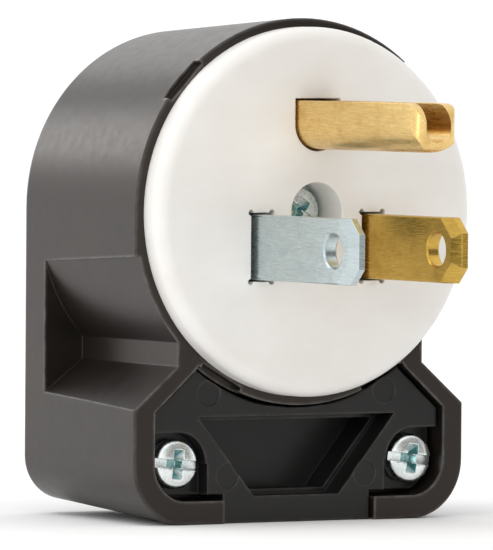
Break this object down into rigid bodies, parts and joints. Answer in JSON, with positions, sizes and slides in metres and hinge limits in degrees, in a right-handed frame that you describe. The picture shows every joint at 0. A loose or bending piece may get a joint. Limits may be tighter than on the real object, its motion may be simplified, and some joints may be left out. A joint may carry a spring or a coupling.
{
  "type": "right-angle electrical plug",
  "caption": "Right-angle rewirable plug with flat blades and a U-shaped ground pin on a white face, in a black housing with a screwed cord clamp in its foot.",
  "frame": {"origin": "on the mating face, midway between the centres of the two flat blades", "axes": "-Y out of the mating face along the blades, +Z towards the ground pin, +X right as seen from the front"},
  "size_m": [0.0378, 0.0486, 0.0493],
  "materials": {
    "black_nylon": "moulded satin",
    "white_nylon": "moulded satin",
    "nickel_plate": "nickel plated, drawn",
    "brass": "rolled and stamped",
    "zinc_plate": "bright zinc",
    "green_screw": "green dyed zinc"
  },
  "bodies": {
    "housing": {"housing": "black_nylon", "assembly_insert": "brass", "left_clamp_insert": "brass", "right_clamp_insert": "brass"},
    "face_module": {"face": "white_nylon", "contact_carrier": "black_nylon", "neutral_blade": "nickel_plate", "line_blade": "brass", "ground_pin": "brass"},
    "captive_washer": {"assembly_screw_washer": "zinc_plate"},
    "assembly_screw": {"assembly_screw": "zinc_plate"},
    "cord_clamp": {"cord_clamp": "black_nylon"},
    "left_clamp_screw": {"left_clamp_screw": "zinc_plate"},
    "right_clamp_screw": {"right_clamp_screw": "zinc_plate"},
    "neutral_pressure_plate": {"neutral_pressure_plate": "brass"},
    "neutral_terminal_screw": {"neutral_terminal_screw": "nickel_plate"},
    "line_pressure_plate": {"line_pressure_plate": "brass"},
    "line_terminal_screw": {"line_terminal_screw": "brass"},
    "ground_pressure_plate": {"ground_pressure_plate": "brass"},
    "ground_terminal_screw": {"ground_terminal_screw": "green_screw"}
  },
  "joints": [
    {"name": "face_lift_out", "type": "slide", "parent": "housing", "child": "face_module", "axis": [0, -1, 0], "range_m": [0, 0.024]},
    {"name": "assembly_screw_back_out", "type": "slide", "parent": "face_module", "child": "captive_washer", "axis": [0, -1, 0], "range_m": [0, 0.0075]},
    {"name": "assembly_screw_turn", "type": "hinge", "parent": "captive_washer", "child": "assembly_screw", "pos_m": [0, 0.005, 0.00336], "axis": [0, -1, 0], "range_deg": [0, 3401]},
    {"name": "clamp_slide", "type": "slide", "parent": "housing", "child": "cord_clamp", "axis": [0, -1, 0], "range_m": [0, 0.006]},
    {"name": "left_clamp_screw_turn", "type": "hinge", "parent": "cord_clamp", "child": "left_clamp_screw", "pos_m": [-0.0135, 0.0052, -0.02114], "axis": [0, -1, 0], "range_deg": [0, 3402]},
    {"name": "right_clamp_screw_turn", "type": "hinge", "parent": "cord_clamp", "child": "right_clamp_screw", "pos_m": [0.0135, 0.0052, -0.02114], "axis": [0, -1, 0], "range_deg": [0, 3402]},
    {"name": "neutral_pressure_plate_slide", "type": "slide", "parent": "face_module", "child": "neutral_pressure_plate", "axis": [0, 1, 0], "range_m": [0, 0.002]},
    {"name": "neutral_terminal_screw_turn", "type": "hinge", "parent": "neutral_pressure_plate", "child": "neutral_terminal_screw", "pos_m": [-0.0108, 0.00872, 0], "axis": [0, 1, 0], "range_deg": [0, 907]},
    {"name": "line_pressure_plate_slide", "type": "slide", "parent": "face_module", "child": "line_pressure_plate", "axis": [0, 1, 0], "range_m": [0, 0.002]},
    {"name": "line_terminal_screw_turn", "type": "hinge", "parent": "line_pressure_plate", "child": "line_terminal_screw", "pos_m": [0.0108, 0.00872, 0], "axis": [0, 1, 0], "range_deg": [0, 907]},
    {"name": "ground_pressure_plate_slide", "type": "slide", "parent": "face_module", "child": "ground_pressure_plate", "axis": [0, 1, 0], "range_m": [0, 0.002]},
    {"name": "ground_terminal_screw_turn", "type": "hinge", "parent": "ground_pressure_plate", "child": "ground_terminal_screw", "pos_m": [0.007, 0.00872, 0.01156], "axis": [0, 1, 0], "range_deg": [0, 907]}
  ],
  "couplings": [
    {"joint": "assembly_screw_turn", "follows": "assembly_screw_back_out", "rad_per_m": 7913.3},
    {"joint": "left_clamp_screw_turn", "follows": "clamp_slide", "rad_per_m": 9894.8},
    {"joint": "right_clamp_screw_turn", "follows": "clamp_slide", "rad_per_m": 9894.8},
    {"joint": "neutral_terminal_screw_turn", "follows": "neutral_pressure_plate_slide", "rad_per_m": 7913.3},
    {"joint": "line_terminal_screw_turn", "follows": "line_pressure_plate_slide", "rad_per_m": 7913.3},
    {"joint": "ground_terminal_screw_turn", "follows": "ground_pressure_plate_slide", "rad_per_m": 7913.3}
  ]
}
